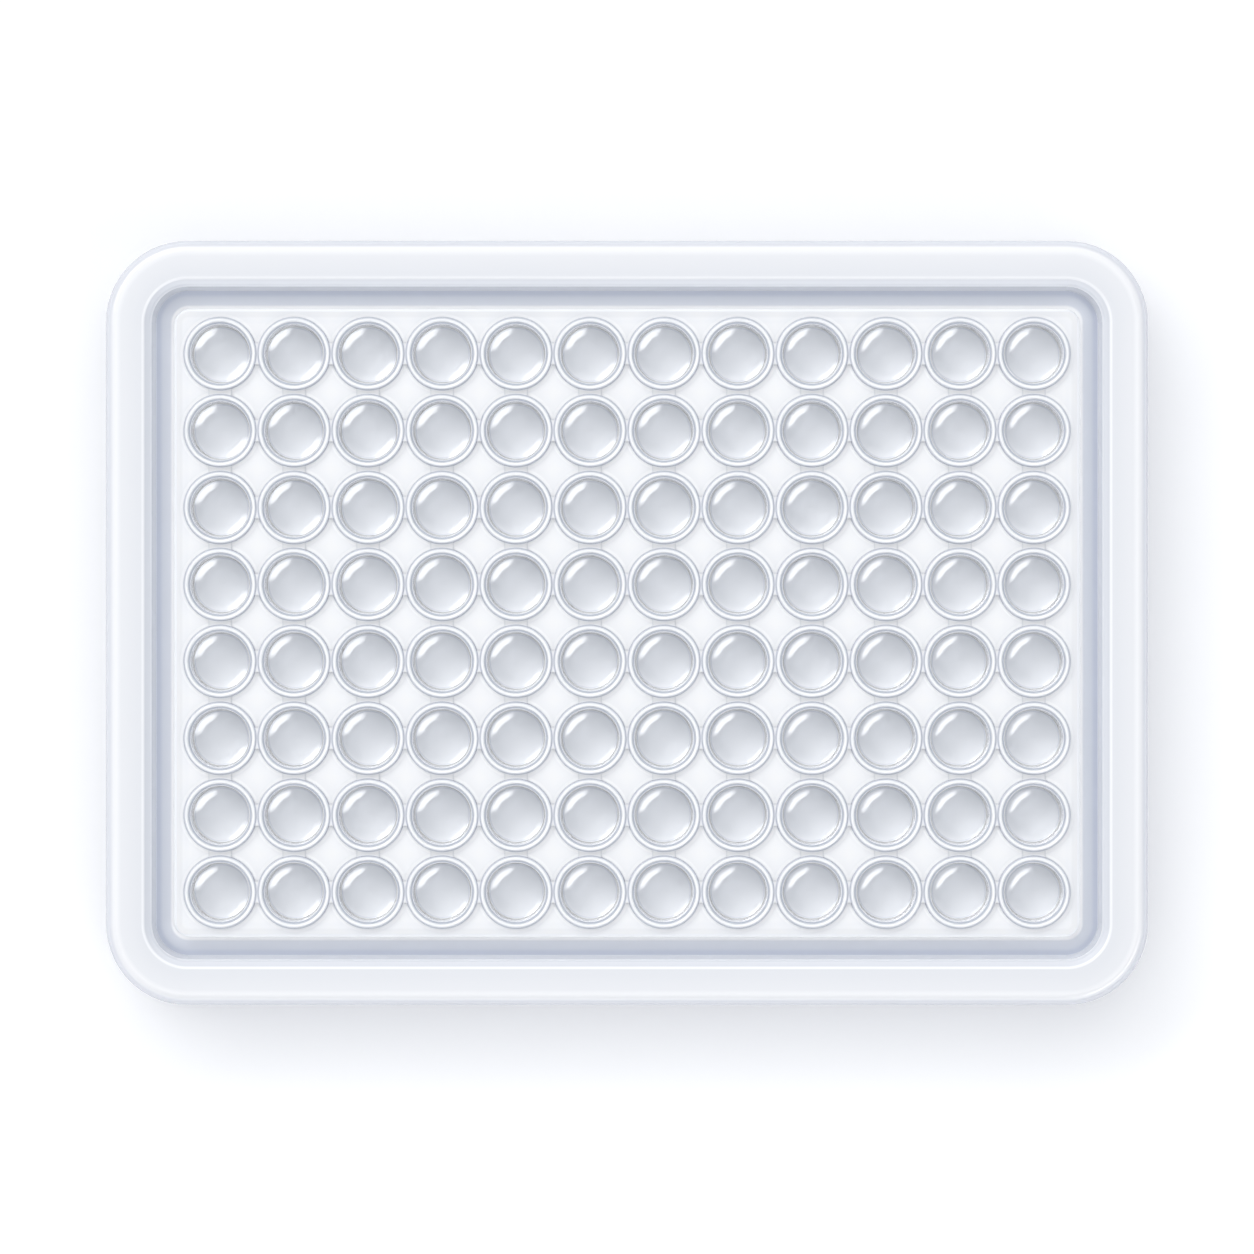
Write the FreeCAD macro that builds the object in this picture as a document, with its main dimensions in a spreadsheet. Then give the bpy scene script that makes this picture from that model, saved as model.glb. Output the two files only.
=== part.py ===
import FreeCAD, Part
import math
import os
import re
import Sketcher

# A 96-well plate, moulded in one piece: a skirt with a rounded frame, a channel inside it, a raised
# deck, and a grid of round wells that hang under the deck as closed tubes.
# Millimetres. The origin is at the middle of the footprint: +X runs along the columns, +Y towards
# the first row and +Z is up.

doc = FreeCAD.newDocument("WellPlate")
sizes = doc.addObject("Spreadsheet::Sheet", "Sizes")

DRIVING = {
    # the footprint and the frame round it
    "plate_length": 127.76,
    "plate_width": 93.7,
    "plate_height": 14.35,
    "corner_radius": 10.0,
    "edge_round": 1.35,
    "frame_width": 4.6,
    "frame_inner_round": 0.6,
    # the sloped ledge inside the frame, and the channel between it and the deck
    "ledge_run": 1.0,
    "ledge_drop": 0.5,
    "ledge_round": 0.6,
    "channel_width": 2.7,
    "channel_depth": 4.6,
    "channel_wall_run": 0.4,
    "deck_drop": 1.6,
    "deck_corner_radius": 2.0,
    "deck_edge_round": 0.35,
    # the hollow underside
    "skirt_wall": 1.3,
    "top_wall": 1.2,
    "frame_hollow_width": 3.1,
    "hollow_corner_radius": 1.0,
    # the wells
    "columns": 12,
    "rows": 8,
    "column_pitch": 9.07,
    "row_pitch": 9.43,
    "collar_foot_radius": 4.52,
    "collar_radius": 4.44,
    "collar_height": 1.0,
    "mouth_radius": 3.92,
    "mouth_depth": 0.5,
    "mouth_draft": 0.04,
    "throat_radius": 3.62,
    "throat_depth": 0.8,
    "well_depth": 6.3,
    "dish_radius": 3.4,
    "dish_sag": 0.7,
    "foot_groove_width": 0.12,
    "foot_groove_depth": 0.15,
    "tube_wall": 0.65,
    "tube_floor": 1.2,
    "tube_chamfer": 0.8,
    # the webs between the collars of a column, and the taller ones between those of a row
    "web_width": 2.7,
    "web_height": 0.35,
    "row_web_width": 2.6,
    "row_web_height": 0.7,
}

# heights above the table, insets from the outer faces, and places that follow from them
WORKED_OUT = {
    "ledge_height": "plate_height - ledge_drop",
    "channel_inset": "frame_width + ledge_run",
    "channel_floor": "plate_height - channel_depth",
    "deck_top": "plate_height - deck_drop",
    "collar_top": "deck_top + collar_height",
    "bead_round": "(collar_radius - mouth_radius) / 2",
    "hollow_roof": "channel_floor - top_wall",
    "deck_inset": "channel_inset + channel_width",
    "dish_bottom": "collar_top - well_depth",
    "dish_edge": "dish_bottom + dish_sag",
    "dish_curve": "(dish_radius^2 + dish_sag^2) / (2 * dish_sag)",
    "tube_bottom": "dish_bottom - tube_floor",
    "first_column": "-(columns - 1) * column_pitch / 2",
    "first_row": "-(rows - 1) * row_pitch / 2",
}

for line, (name, value) in enumerate({**DRIVING, **WORKED_OUT}.items(), start=1):
    sizes.set(f"A{line}", name)
    sizes.set(f"B{line}", f"={value}" if name in WORKED_OUT else str(value))
    sizes.setAlias(f"B{line}", name)
doc.recompute()

body = doc.addObject("PartDesign::Body", "well_plate")
body.Label = "well_plate"
origin = {feature.Role: feature for feature in body.Origin.OriginFeatures}

# Sketcher's numbers for the origin, the upright axis, and the points of a line or an arc
ORIGIN_POINT = (-1, 1)
UPRIGHT_AXIS = -2
START, END, CENTRE = 1, 2, 3
UP = FreeCAD.Vector(0, 0, 1)


def bind(thing, prop, formula):
    """Ties a property to a formula in the sheet's names."""
    in_sheet = re.sub(r"[a-z_]+", lambda word: named(word[0]), formula)
    thing.setExpression(prop, in_sheet)


def named(word):
    return f"Sizes.{word}" if word in DRIVING or word in WORKED_OUT else word


def worth(formula):
    """A formula's present value, for where a sketch's lines start before they are tied."""
    return float(sizes.evalExpression(formula))


def new_sketch(name, plane, height="0"):
    """A sketch on one of the body's planes, or at a height above it."""
    sketch = body.newObject("Sketcher::SketchObject", name)
    sketch.AttachmentSupport = [(origin[plane], "")]
    sketch.MapMode = "FlatFace"
    if height != "0":
        bind(sketch, "AttachmentOffset.Base.z", height)
    return sketch


def tie(sketch, name, kind, targets, formula):
    """A named dimension, tied to its formula."""
    at = sketch.addConstraint(Sketcher.Constraint(kind, *targets, worth(formula)))
    sketch.renameConstraint(at, name)
    bind(sketch, f"Constraints.{name}", formula)


def rounded_rectangle(sketch, name, length, width, radius):
    """A centred rectangle with round corners: four sides and four arcs that meet smoothly."""
    x, y, r = worth(length) / 2, worth(width) / 2, worth(radius)
    arcs, sides = [], []
    for number, (right, up) in enumerate([(1, 1), (-1, 1), (-1, -1), (1, -1)]):
        middle = FreeCAD.Vector(right * (x - r), up * (y - r), 0)
        circle = Part.Circle(middle, UP, r)
        quarter = math.pi / 2
        arcs.append(sketch.addGeometry(Part.ArcOfCircle(circle, number * quarter, (number + 1) * quarter)))
    for number in range(4):
        this, following = sketch.Geometry[arcs[number]], sketch.Geometry[arcs[(number + 1) % 4]]
        side = Part.LineSegment(this.EndPoint, following.StartPoint)
        sides.append(sketch.addGeometry(side))
    for number in range(4):
        following = arcs[(number + 1) % 4]
        flat = "Vertical" if number % 2 else "Horizontal"
        sketch.addConstraint(Sketcher.Constraint("Tangent", arcs[number], END, sides[number], START))
        sketch.addConstraint(Sketcher.Constraint("Tangent", sides[number], END, following, START))
        sketch.addConstraint(Sketcher.Constraint(flat, sides[number]))
    for other in arcs[1:]:
        sketch.addConstraint(Sketcher.Constraint("Equal", arcs[0], other))
    sketch.addConstraint(
        Sketcher.Constraint("Symmetric", arcs[0], CENTRE, arcs[2], CENTRE, *ORIGIN_POINT)
    )
    tie(sketch, f"{name}_radius", "Radius", (arcs[0],), radius)
    tie(sketch, f"{name}_length", "DistanceX", (sides[1], START, sides[3], START), length)
    tie(sketch, f"{name}_width", "DistanceY", (sides[2], START, sides[0], START), width)
    return sketch


def inset_rectangle(sketch, name, inset, radius):
    """The footprint's outline moved in by an inset."""
    length, width = (f"{side} - 2 * ({inset})" for side in ("plate_length", "plate_width"))
    return rounded_rectangle(sketch, name, length, width, radius)


def rectangle(sketch, name, length, width):
    """A centred rectangle with square corners."""
    x, y = worth(length) / 2, worth(width) / 2
    corners = [FreeCAD.Vector(*at, 0) for at in ((-x, -y), (x, -y), (x, y), (-x, y))]
    sides = [
        sketch.addGeometry(Part.LineSegment(corners[number - 1], corners[number]))
        for number in range(4)
    ]
    for number, side in enumerate(sides):
        flat = "Horizontal" if number % 2 else "Vertical"
        sketch.addConstraint(
            Sketcher.Constraint("Coincident", side, END, sides[(number + 1) % 4], START)
        )
        sketch.addConstraint(Sketcher.Constraint(flat, side))
    sketch.addConstraint(Sketcher.Constraint("Symmetric", sides[0], END, sides[2], END, *ORIGIN_POINT))
    tie(sketch, f"{name}_length", "DistanceX", (sides[1], START, sides[1], END), length)
    tie(sketch, f"{name}_width", "DistanceY", (sides[2], START, sides[2], END), width)
    return sketch


def turned_outline(sketch, corners):
    """A closed half-outline beside the sketch's upright axis, for turning about that axis.

    Each corner is (name, out from the axis, up, radius, way): the side that leads to the corner is
    straight where radius is None, or else an arc that runs with the clock (-1) or against it (1)."""
    places = [FreeCAD.Vector(worth(out), worth(up), 0) for _, out, up, _, _ in corners]
    sides = []
    for number, (_, _, _, radius, way) in enumerate(corners):
        begin, finish = places[number - 1], places[number]
        if radius is None:
            sides.append((sketch.addGeometry(Part.LineSegment(begin, finish)), START, END))
            continue
        chord = finish - begin
        reach = math.sqrt(max(worth(radius) ** 2 - (chord.Length / 2) ** 2, 0))
        middle = begin + chord / 2 + UP.cross(chord).normalize() * reach * way
        first, last = (begin, finish) if way > 0 else (finish, begin)
        turns = [math.atan2(point.y - middle.y, point.x - middle.x) for point in (first, last)]
        arc = Part.ArcOfCircle(Part.Circle(middle, UP, worth(radius)), *turns)
        ends = (START, END) if way > 0 else (END, START)
        sides.append((sketch.addGeometry(arc), *ends))
    for number, (name, out, up, radius, _) in enumerate(corners):
        side, _, end = sides[number]
        following, start, _ = sides[(number + 1) % len(sides)]
        sketch.addConstraint(Sketcher.Constraint("Coincident", side, end, following, start))
        if out == "0":
            sketch.addConstraint(Sketcher.Constraint("PointOnObject", side, end, UPRIGHT_AXIS))
        else:
            tie(sketch, f"{name}_out", "DistanceX", (*ORIGIN_POINT, side, end), out)
        tie(sketch, f"{name}_up", "DistanceY", (*ORIGIN_POINT, side, end), up)
        if radius is not None:
            tie(sketch, f"{name}_radius", "Radius", (side,), radius)
    return sketch


def add(kind, name, profile):
    """A feature of the body that is made from a sketch."""
    feature = body.newObject(f"PartDesign::{kind}", name)
    feature.Profile = profile
    return feature


def cut(name, profile, depth, upwards):
    """A pocket, checked for having taken something away."""
    before = body.Tip.Shape.Volume
    pocket = add("Pocket", name, profile)
    pocket.Reversed = upwards
    bind(pocket, "Length", depth)
    doc.recompute()
    if pocket.Shape.Volume > before - 1:
        raise RuntimeError(f"{name} cut nothing")
    return pocket


def turn_at_first_well(kind, name, corners):
    """A half-outline turned about the axis of the well at the grid's first corner."""
    sketch = new_sketch(f"{name}_outline", "XZ_Plane")
    bind(sketch, "AttachmentOffset.Base.x", "first_column")
    bind(sketch, "AttachmentOffset.Base.z", "-first_row")
    turned_outline(sketch, corners)
    feature = add(kind, name, sketch)
    feature.ReferenceAxis = (sketch, ["V_Axis"])
    feature.Angle = 360
    return feature


def spread(pattern, axis, count, pitch):
    """Sets a pattern's direction, and ties its count and its pitch."""
    pattern.Direction = (origin[f"{axis}_Axis"], [""])
    pattern.Mode = "Spacing"
    bind(pattern, "Occurrences", count)
    bind(pattern, "Offset", pitch)


def grid_of(feature, name):
    """A feature of the first well repeated for every column and every row."""
    grid = body.newObject("PartDesign::MultiTransform", name)
    grid.Originals = [feature]
    along = body.newObject("PartDesign::LinearPattern", f"{name}_along")
    spread(along, "X", "columns", "column_pitch")
    across = body.newObject("PartDesign::LinearPattern", f"{name}_across")
    spread(across, "Y", "rows", "row_pitch")
    grid.Transformations = [along, across]
    body.Tip = grid
    doc.recompute()


def round_edges(name, edges, radius):
    """A fillet along some edges of the body."""
    base = body.Tip
    chosen = [
        f"Edge{number}"
        for number, edge in enumerate(base.Shape.Edges, start=1)
        if any(edge.isSame(other) for other in edges)
    ]
    fillet = body.newObject("PartDesign::Fillet", name)
    fillet.Base = (base, chosen)
    bind(fillet, "Radius", radius)
    doc.recompute()
    return fillet


def lies_at(shape, height):
    """Whether an edge or a face lies flat at a height."""
    box, at = shape.BoundBox, worth(height)
    return abs(box.ZMin - at) < 1e-6 and abs(box.ZMax - at) < 1e-6


def level_face(height):
    """The widest face that lies flat at a height."""
    level = [face for face in body.Tip.Shape.Faces if lies_at(face, height)]
    return max(level, key=lambda face: face.BoundBox.DiagonalLength)


def rib_under_wells(name, start, width, length, height, axis, count, pitch):
    """A low rib on the deck through a line of wells, repeated for every such line."""
    outline = new_sketch(f"{name}_outline", "XY_Plane", "deck_top")
    bind(outline, f"AttachmentOffset.Base.{axis.lower()}", start)
    sides = (width, length) if axis == "X" else (length, width)
    rib = add("Pad", name, rectangle(outline, name, *sides))
    bind(rib, "Length", height)
    ribs = body.newObject("PartDesign::LinearPattern", f"{name}s")
    ribs.Originals = [rib]
    spread(ribs, axis, count, pitch)
    body.Tip = ribs
    doc.recompute()


# The block: the plate's whole outside, with its top edge rounded.
block_outline = inset_rectangle(new_sketch("block_outline", "XY_Plane"), "plate", "0", "corner_radius")
block = add("Pad", "block", block_outline)
bind(block, "Length", "plate_height")
doc.recompute()
round_edges("top_edge", level_face("plate_height").OuterWire.Edges, "edge_round")

# The ledge: the frame's inner side slopes gently down before it drops into the channel.
ledge_outline = inset_rectangle(
    new_sketch("ledge_outline", "XY_Plane", "plate_height"),
    "ledge",
    "frame_width",
    "corner_radius - frame_width",
)
ledge = cut("ledge", ledge_outline, "ledge_drop", upwards=False)
bind(ledge, "TaperAngle", "-atan(ledge_run / ledge_drop)")
doc.recompute()

# The channel: its outer wall leans a little, and its floor runs on under the deck.
channel_outline = inset_rectangle(
    new_sketch("channel_outline", "XY_Plane", "ledge_height"),
    "channel",
    "channel_inset",
    "corner_radius - channel_inset",
)
channel = cut("channel", channel_outline, "channel_depth - ledge_drop", upwards=False)
bind(channel, "TaperAngle", "-atan(channel_wall_run / (channel_depth - ledge_drop))")
doc.recompute()
ledge_edges = [edge for edge in body.Tip.Shape.Edges if lies_at(edge, "ledge_height")]
round_edges("ledge_edge", ledge_edges, "ledge_round")
inner_edge = next(
    wire
    for wire in level_face("plate_height").Wires
    if not wire.isSame(level_face("plate_height").OuterWire)
)
round_edges("frame_inner_edge", inner_edge.Edges, "frame_inner_round")

# The deck stands in the channel, a little lower than the frame.
deck_outline = inset_rectangle(
    new_sketch("deck_outline", "XY_Plane", "channel_floor"), "deck", "deck_inset", "deck_corner_radius"
)
deck = add("Pad", "deck", deck_outline)
bind(deck, "Length", "deck_top - channel_floor")
doc.recompute()
round_edges("deck_edge", level_face("deck_top").OuterWire.Edges, "deck_edge_round")

# The hollow underside: one large hollow, carried further up under the frame and under the deck.
hollow_outline = inset_rectangle(
    new_sketch("hollow_outline", "XY_Plane"), "hollow", "skirt_wall", "corner_radius - skirt_wall"
)
cut("hollow", hollow_outline, "hollow_roof", upwards=True)

frame_hollow_outline = new_sketch("frame_hollow_outline", "XY_Plane", "hollow_roof")
inset_rectangle(frame_hollow_outline, "outer", "skirt_wall", "corner_radius - skirt_wall")
inset_rectangle(
    frame_hollow_outline,
    "inner",
    "skirt_wall + frame_hollow_width",
    "corner_radius - skirt_wall - frame_hollow_width",
)
cut("frame_hollow", frame_hollow_outline, "plate_height - top_wall - hollow_roof", upwards=True)

deck_hollow_outline = inset_rectangle(
    new_sketch("deck_hollow_outline", "XY_Plane", "hollow_roof"),
    "deck_hollow",
    "deck_inset + top_wall",
    "hollow_corner_radius",
)
cut("deck_hollow", deck_hollow_outline, "deck_top - top_wall - hollow_roof", upwards=True)

# The webs: low ribs on the deck through the wells, seen only where they cross from collar to collar.
rib_under_wells(
    "web",
    "first_column",
    "web_width",
    "(rows - 1) * row_pitch",
    "web_height",
    "X",
    "columns",
    "column_pitch",
)
rib_under_wells(
    "row_web",
    "first_row",
    "row_web_width",
    "(columns - 1) * column_pitch",
    "row_web_height",
    "Y",
    "rows",
    "row_pitch",
)

# The tubes, still solid: each hangs under the deck and ends above it in a round collar.
tube = turn_at_first_well(
    "Revolution",
    "tube",
    [
        ("foot", "0", "tube_bottom", None, None),
        ("base", "dish_radius + tube_wall - tube_chamfer", "tube_bottom", None, None),
        ("heel", "dish_radius + tube_wall", "tube_bottom + tube_chamfer", None, None),
        ("neck", "throat_radius + tube_wall", "deck_top - top_wall / 2", None, None),
        ("skirt", "collar_foot_radius", "deck_top - top_wall / 4", None, None),
        ("collar", "collar_radius", "collar_top - bead_round", None, None),
        ("lip", "collar_radius - bead_round", "collar_top", "bead_round", 1),
        ("crown", "0", "collar_top", None, None),
    ],
)
grid_of(tube, "tubes")

# The wells: a dish with a fine groove round it, a nearly upright wall, a short funnel above that,
# and a mouth whose edge is the inner half of the collar's round bead.
well = turn_at_first_well(
    "Groove",
    "well",
    [
        ("bottom", "0", "dish_bottom", None, None),
        ("dish", "dish_radius", "dish_edge", "dish_curve", 1),
        ("ring", "dish_radius + foot_groove_width / 3", "dish_edge - foot_groove_depth", None, None),
        ("wall", "dish_radius + foot_groove_width", "dish_edge", None, None),
        ("throat", "throat_radius", "collar_top - throat_depth", None, None),
        ("funnel", "mouth_radius - mouth_draft", "collar_top - mouth_depth", None, None),
        ("mouth", "mouth_radius", "collar_top - bead_round", None, None),
        ("lip", "mouth_radius + bead_round", "collar_top", "bead_round", -1),
        ("above", "mouth_radius + bead_round", "collar_top + collar_height", None, None),
        ("middle", "0", "collar_top + collar_height", None, None),
    ],
)
grid_of(well, "wells")

for thing in doc.Objects:
    if "Invalid" in thing.State or "Error" in thing.State:
        raise RuntimeError(f"{thing.Name} failed: {thing.State}")
if body.Shape.isNull() or not body.Shape.isValid() or len(body.Shape.Solids) != 1:
    raise RuntimeError("the plate isn't one valid solid")

os.makedirs("parts", exist_ok=True)
body.Shape.exportStep(os.path.join("parts", f"{body.Label}.step"))
box = body.Shape.optimalBoundingBox(False, False)
print(f"{body.Label}: {box.XLength:.2f} x {box.YLength:.2f} x {box.ZLength:.2f} mm", end=", ")
print(f"{body.Shape.Volume / 1000:.2f} cm3, {len(body.Shape.Faces)} faces")
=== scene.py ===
import math

import bpy
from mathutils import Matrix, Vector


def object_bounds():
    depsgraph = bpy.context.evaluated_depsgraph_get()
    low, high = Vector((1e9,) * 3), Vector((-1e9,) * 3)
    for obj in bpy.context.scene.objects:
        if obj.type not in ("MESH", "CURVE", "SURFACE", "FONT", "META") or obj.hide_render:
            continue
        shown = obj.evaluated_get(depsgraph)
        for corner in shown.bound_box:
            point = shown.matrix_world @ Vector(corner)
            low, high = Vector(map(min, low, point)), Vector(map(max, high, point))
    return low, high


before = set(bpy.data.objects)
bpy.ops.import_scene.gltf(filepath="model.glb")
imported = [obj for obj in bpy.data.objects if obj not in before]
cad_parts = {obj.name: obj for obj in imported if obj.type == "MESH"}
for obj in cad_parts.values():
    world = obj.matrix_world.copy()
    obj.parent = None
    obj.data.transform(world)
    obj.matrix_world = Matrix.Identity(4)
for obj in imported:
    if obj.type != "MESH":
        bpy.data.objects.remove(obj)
cad_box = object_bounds()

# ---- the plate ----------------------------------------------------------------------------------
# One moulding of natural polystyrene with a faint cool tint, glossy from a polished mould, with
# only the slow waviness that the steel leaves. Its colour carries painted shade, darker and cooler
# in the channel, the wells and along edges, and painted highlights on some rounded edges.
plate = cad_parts["well_plate"]

# sizes in metres; the plate stands on zero, with its middle over the origin
plate_half_length, plate_half_width, rim_height = cad_box[1]
corner_radius = 0.010
column_pitch, row_pitch = 0.00907, 0.00943
columns, rows = 12, 8
deck_start, deck_full = 0.00860, 0.00872
collar_end, web_start = 0.00455, 0.00465
web_end_gap = 0.0003
hair = 0.00001

# the plastic's own colour
plastic_white = (0.985, 0.985, 0.985)
# the colours below are painted shade and painted highlights, multiplied onto the plastic's colour;
# white leaves it as it is
outermost = (0.65, 0.655, 0.70)
frame_outside = (0.81, 0.81, 0.83)
frame_shoulder = (0.885, 0.88, 0.875)
frame_top = (0.797, 0.797, 0.802)
frame_inside = (0.753, 0.758, 0.77)
frame_edge = (0.91, 0.91, 0.91)
ledge_outside = (0.72, 0.73, 0.755)
ledge_inside = (0.77, 0.78, 0.805)
channel_corner = (0.49, 0.53, 0.635)
channel_outside = (0.602, 0.635, 0.707)
channel_inside = (0.70, 0.726, 0.785)
deck_edge = (0.81, 0.82, 0.845)
deck_border = (0.905, 0.91, 0.92)
deck_outside = (0.97, 0.975, 0.985)
bowl = (0.81, 0.827, 0.855)
bowl_edge = (0.685, 0.708, 0.765)
mouth_edge = (0.53, 0.56, 0.63)
collar_top = (0.985, 0.98, 0.965)
collar_shoulder = (0.80, 0.80, 0.805)
collar_foot = (0.60, 0.62, 0.675)
collar_base = (0.94, 0.935, 0.92)
deck_by_collar = (0.858, 0.857, 0.852)
deck_middle = (0.865, 0.86, 0.845)
web_top = (0.835, 0.835, 0.835)
web_edge = (0.80, 0.81, 0.83)
white = (1.0, 1.0, 1.0)
# the tints are painted shade and painted highlights: darker along the outer edge, over the
# frame's top, in the channel and its crease and at the deck's edge, and lighter on the frame's
# rounded shoulder and inner edge; each is listed with the distance in from the plate's outline at
# which it stands, in millimetres
outline_reach = 11.0
painted_light_from_outline = (
    (0.0, outermost),
    (0.35, frame_outside),
    (0.5, frame_outside),
    (0.9, frame_shoulder),
    (1.35, frame_shoulder),
    (1.9, frame_top),
    (3.9, frame_inside),
    (4.35, frame_inside),
    (4.53, frame_edge),
    (4.69, frame_edge),
    (4.82, ledge_outside),
    (5.35, ledge_inside),
    (5.62, white),
    (5.96, white),
    (6.07, channel_corner),
    (6.45, channel_corner),
    (6.85, channel_outside),
    (7.75, channel_inside),
    (8.00, white),
    (8.40, white),
    (8.58, deck_edge),
    (8.72, deck_border),
    (9.2, deck_border),
    (9.5, deck_outside),
    (9.9, deck_outside),
    (10.3, white),
)
# the same painted shade and highlights over the deck, from the axis of the nearest well: darker
# in the bowls, at the bowl's edge, the mouth and the collar's foot, lighter just outside the foot,
# and soft shade on the deck round the collars
axis_reach = 7.0
painted_light_from_axis = (
    (0.0, bowl),
    (3.14, bowl),
    (3.24, bowl_edge),
    (3.31, bowl_edge),
    (3.40, white),
    (3.64, white),
    (3.72, mouth_edge),
    (3.83, mouth_edge),
    (3.91, collar_top),
    (4.14, collar_top),
    (4.28, collar_shoulder),
    (4.39, collar_foot),
    (4.49, collar_foot),
    (4.60, collar_base),
    (4.82, collar_base),
    (4.97, deck_by_collar),
    (5.5, deck_by_collar),
    (6.2, deck_middle),
)
# and painted shade on the webs between wells, darker along their edges, from the middle of the web
web_reach = 2.0
painted_shade_across_web = (
    (0.0, web_top),
    (1.27, web_top),
    (1.34, web_edge),
    (1.43, web_edge),
    (1.5, white),
)


class Value:
    """A socket in a node tree, so that sums on what a shader sees read as plain arithmetic."""

    def __init__(self, tree, socket=None):
        self.tree = tree
        self.socket = socket

    def make(self, kind, take=0, settings=None, **inputs):
        """A new node of this tree, set up and fed; inputs go by name, or as i0, i1 by place."""
        node = self.tree.nodes.new(kind)
        settings = dict(settings or {})
        stops = settings.pop("stops", None)
        if stops:
            elements = node.color_ramp.elements
            elements.remove(elements[1])
            elements[0].position = stops[0][0]
            for place, _ in stops[1:]:
                elements.new(place)
            for element, (_, colour) in zip(elements, stops):
                element.color = (*colour, 1.0)
        for name, setting in settings.items():
            setattr(node, name, setting)
        for name, value in inputs.items():
            place = int(name[1:]) if name[1:].isdigit() else name.replace("_", " ")
            socket = node.inputs[place]
            if isinstance(value, Value):
                self.tree.links.new(value.socket, socket)
            else:
                socket.default_value = value
        return Value(self.tree, node.outputs[take]) if node.outputs else None

    def sum(self, operation, one, other=0.0):
        """A Math node on one or two values."""
        return self.make("ShaderNodeMath", settings={"operation": operation}, i0=one, i1=other)

    def __add__(self, other):
        return self.sum("ADD", self, other)

    def __sub__(self, other):
        return self.sum("SUBTRACT", self, other)

    def __rsub__(self, other):
        return self.sum("SUBTRACT", other, self)

    def __mul__(self, other):
        return self.sum("MULTIPLY", self, other)

    def __truediv__(self, other):
        return self.sum("DIVIDE", self, other)

    def __pow__(self, other):
        return self.sum("POWER", self, other)

    def __abs__(self):
        return self.sum("ABSOLUTE", self)

    def __floor__(self):
        return self.sum("FLOOR", self)

    __radd__ = __add__
    __rmul__ = __mul__

    def at_least(self, other):
        """The larger of this value and the other."""
        return self.sum("MAXIMUM", self, other)

    def at_most(self, other):
        """The smaller of this value and the other."""
        return self.sum("MINIMUM", self, other)

    def past(self, start, full):
        """0 before start, 1 past full, and a smooth rise between them; start may be the larger."""
        smooth = {"interpolation_type": "SMOOTHSTEP"}
        return self.make("ShaderNodeMapRange", settings=smooth, i0=self, i1=start, i2=full)

    def ramp(self, stops):
        """The colour at this value, from pairs of value and colour in rising order."""
        return self.make("ShaderNodeValToRGB", settings={"stops": stops}, Fac=self)


def new_material(name):
    """A material with an empty node tree, and a Value to start its sums from."""
    material = bpy.data.materials.new(name)
    material.use_nodes = True
    material.node_tree.nodes.clear()
    return material, Value(material.node_tree)


polystyrene, shop = new_material("polystyrene")
here = shop.make("ShaderNodeTexCoord", take="Object")
waviness = shop.make("ShaderNodeTexNoise", Vector=here, Scale=60.0, Detail=1.0)
surface = shop.make("ShaderNodeBump", Strength=0.04, Distance=0.00016, Height=waviness)

along_x = shop.make("ShaderNodeSeparateXYZ", take="X", Vector=here)
along_y = shop.make("ShaderNodeSeparateXYZ", take="Y", Vector=here)

# how far in from the plate's rounded outline a point lies
corner_x = abs(along_x) - (plate_half_length - corner_radius)
corner_y = abs(along_y) - (plate_half_width - corner_radius)
out_x = corner_x.at_least(0.0)
out_y = corner_y.at_least(0.0)
straight = corner_x.at_least(corner_y).at_most(0.0)
inset = corner_radius - ((out_x * out_x + out_y * out_y) ** 0.5 + straight)


def nearest_well(pitches, wells):
    """The nearest well's place along a row of wells, counted in pitches from the middle."""
    number = math.floor(pitches) + 0.5
    return number.at_most((wells - 1) / 2).at_least((1 - wells) / 2)


# how far it lies from the axis of the nearest well and from the middle of the nearest web
from_x = along_x - column_pitch * nearest_well(along_x / column_pitch, columns)
from_y = along_y - row_pitch * nearest_well(along_y / row_pitch, rows)
from_axis = (from_x * from_x + from_y * from_y) ** 0.5
across_web = abs(from_x).at_most(abs(from_y))

# whether it lies on the deck, and whether on a web: inside the grid of wells, outside the collars
on_deck = inset.past(deck_start, deck_full)
grid_half_length = columns / 2 * column_pitch - web_end_gap
grid_half_width = rows / 2 * row_pitch - web_end_gap
on_web = 1.0 - (abs(along_x) - grid_half_length).past(0.0, hair)
on_web *= 1.0 - (abs(along_y) - grid_half_width).past(0.0, hair)
on_web *= from_axis.past(collar_end, web_start)


def painted_light_at(distance, tints, reach):
    """The painted shade and highlight at a distance in metres, from a list that ends within the
    reach.
    """
    return (distance * (1000 / reach)).ramp([(place / reach, painted_colour) for place, painted_colour in tints])


def multiply(first, second, share=1.0):
    """The first colour times the second, in full where the share is 1 and not at all at 0."""
    mix = {"data_type": "RGBA", "blend_type": "MULTIPLY"}
    return shop.make("ShaderNodeMix", take=2, settings=mix, i0=share, i6=first, i7=second)


# the plastic's colour times the painted shade and highlights from the outline, the wells' axes and
# the webs
painted_colour = multiply((*plastic_white, 1.0), painted_light_at(inset, painted_light_from_outline, outline_reach))
painted_colour = multiply(painted_colour, painted_light_at(from_axis, painted_light_from_axis, axis_reach), on_deck)
painted_colour = multiply(painted_colour, painted_light_at(across_web, painted_shade_across_web, web_reach), on_web)
least_roughness, roughness_of_waves = 0.035, 0.03
plastic = shop.make(
    "ShaderNodeBsdfPrincipled",
    Base_Color=painted_colour,
    Roughness=least_roughness + roughness_of_waves * waviness,
    IOR=1.9,
    Normal=surface,
)
shop.make("ShaderNodeOutputMaterial", Surface=plastic)

plate.data.materials.clear()
plate.data.materials.append(polystyrene)

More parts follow.
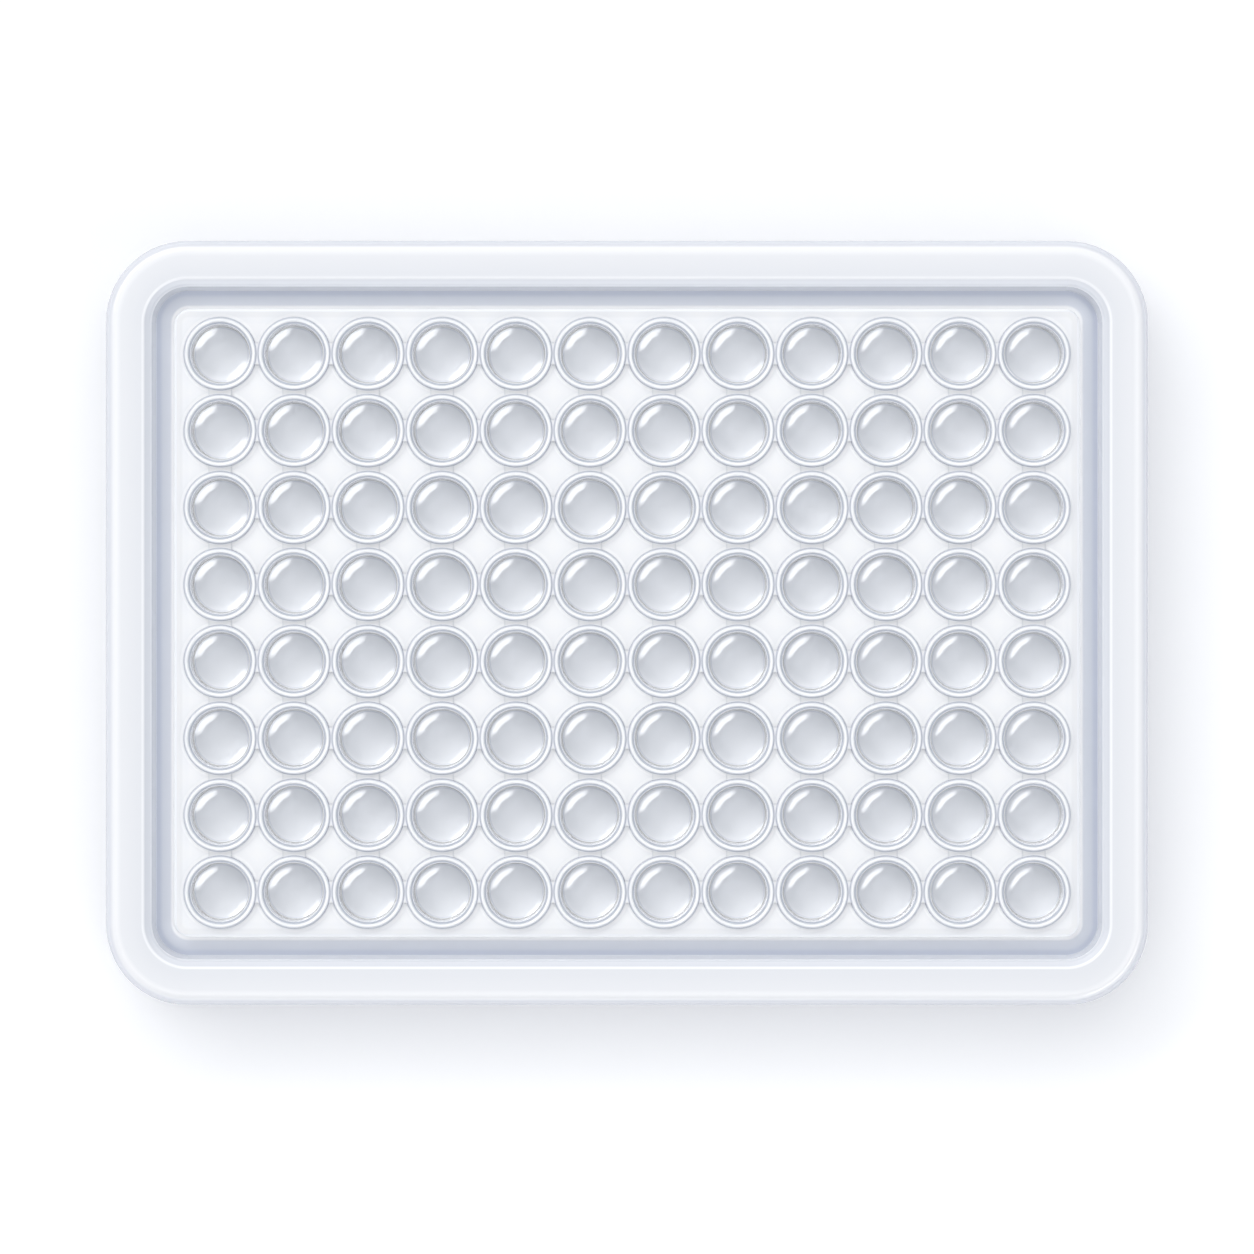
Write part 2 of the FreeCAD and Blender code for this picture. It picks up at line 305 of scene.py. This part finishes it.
# ---- the table ----------------------------------------------------------------------------------
# A plain board in matt white paint, much larger than the plate, that the skirt stands on. A faint
# glow, which only the eye and reflections see, lifts the paint to white and keeps the shadow.
table_reach = 6.0
table_corners = [
    (-table_reach, -table_reach, 0.0),
    (table_reach, -table_reach, 0.0),
    (table_reach, table_reach, 0.0),
    (-table_reach, table_reach, 0.0),
]
table_mesh = bpy.data.meshes.new("table")
table_mesh.from_pydata(table_corners, [], [(0, 1, 2, 3)])
table = bpy.data.objects.new("table", table_mesh)
bpy.context.scene.collection.objects.link(table)

warm_white = (0.885, 0.88, 0.87)
white_board, shop = new_material("white_board")
paint = shop.make("ShaderNodeBsdfDiffuse", Color=(*warm_white, 1.0))
glow = shop.make("ShaderNodeEmission", Color=(*white, 1.0), Strength=0.145)
lit = shop.make("ShaderNodeAddShader", i0=paint, i1=glow)
seen = shop.make("ShaderNodeLightPath", take="Is Camera Ray")
seen += shop.make("ShaderNodeLightPath", take="Is Glossy Ray")
seen += shop.make("ShaderNodeLightPath", take="Is Transmission Ray")
board = shop.make("ShaderNodeMixShader", Fac=seen, i1=paint, i2=lit)
shop.make("ShaderNodeOutputMaterial", Surface=board)
table_mesh.materials.append(white_board)

# ---- the studio ---------------------------------------------------------------------------------
# A large soft light hangs high on the upper left. Curved banks of light stand lower down around the
# plate, a dim cool dome fills in from all sides, and a brighter band lies along the horizon.
dome = bpy.data.worlds.new("dome")
bpy.context.scene.world = dome
dome.use_nodes = True
dome.node_tree.nodes.clear()
studio = Value(dome.node_tree)
ray = studio.make("ShaderNodeTexCoord", take="Generated")
upward = studio.make("ShaderNodeSeparateXYZ", take="Z", Vector=ray)
northward = studio.make("ShaderNodeSeparateXYZ", take="Y", Vector=ray)


def facing(side, tilt):
    """1 towards a side, in degrees from the right, and a tilt from straight up; less around it."""
    side, tilt = math.radians(side), math.radians(tilt)
    towards = (math.cos(side) * math.sin(tilt), math.sin(side) * math.sin(tilt), math.cos(tilt))
    dot = {"operation": "DOT_PRODUCT"}
    return studio.make("ShaderNodeVectorMath", take="Value", settings=dot, i0=ray, i1=towards)


def ring(top, bottom, edge):
    """A ring of light around the plate between two tilts from straight up, with soft edges."""
    tilts = ((bottom + edge, 0.0), (bottom - edge, 1.0), (top + edge, 1.0), (top - edge, 0.0))
    return upward.ramp([(math.cos(math.radians(tilt)), (level,) * 3) for tilt, level in tilts])


# the large soft light
soft_light_strength = 1.56
soft_light = facing(side=120, tilt=21)
soft_light *= soft_light
warm = soft_light * soft_light * soft_light_strength

# a bank on the far side, and one lower down that goes all the way round and is brightest nearby
far_strength, near_strength, all_round_strength = 1.03, 1.1, 0.22
warm += ring(top=36, bottom=50, edge=3) * northward.past(0.0, 0.68) * far_strength
nearby = northward.past(0.0, -0.85) * near_strength
warm += ring(top=48, bottom=68, edge=4) * (nearby + all_round_strength)

# two narrow bright banks, on the upper left and on the lower right
upper_left_strength, lower_right_strength = 3.0, 5.0
upper_left = facing(side=135, tilt=90)
warm += ring(top=37, bottom=46, edge=1) * upper_left.past(0.53, 0.62) * upper_left_strength
lower_right = upper_left.past(-0.44, -0.54) * lower_right_strength
warm += ring(top=31.9, bottom=38.6, edge=1.3) * lower_right

# the cool dome, and the brighter band along the horizon that fades out into it
horizon_light, dome_light = (1.06, 1.25, 1.62), (0.127, 0.149, 0.194)
band_top = 0.2
cool = upward.ramp([(0.0, horizon_light), (band_top, dome_light)])
light = studio.make("ShaderNodeVectorMath", settings={"operation": "ADD"}, i0=cool, i1=warm)
background = studio.make("ShaderNodeBackground", Color=light, Strength=1.0)
studio.make("ShaderNodeOutputWorld", Surface=background)

# ---- the camera ---------------------------------------------------------------------------------
# It looks straight down on the plate, with the long side across. It stands far off with a long
# lens, so the wells keep almost the same shape from the middle to the corners.
seen_width = 0.1536
camera_height = 1.3
camera_aside = -0.0005
camera = bpy.data.cameras.new("camera")
camera.sensor_width = 36.0
camera.lens = camera.sensor_width * camera_height / seen_width
camera.clip_end = 20.0
viewer = bpy.data.objects.new("camera", camera)
viewer.location = (0.0, camera_aside, rim_height + camera_height)
bpy.context.scene.collection.objects.link(viewer)
bpy.context.scene.camera = viewer

bpy.context.scene.view_settings.view_transform = "Standard"
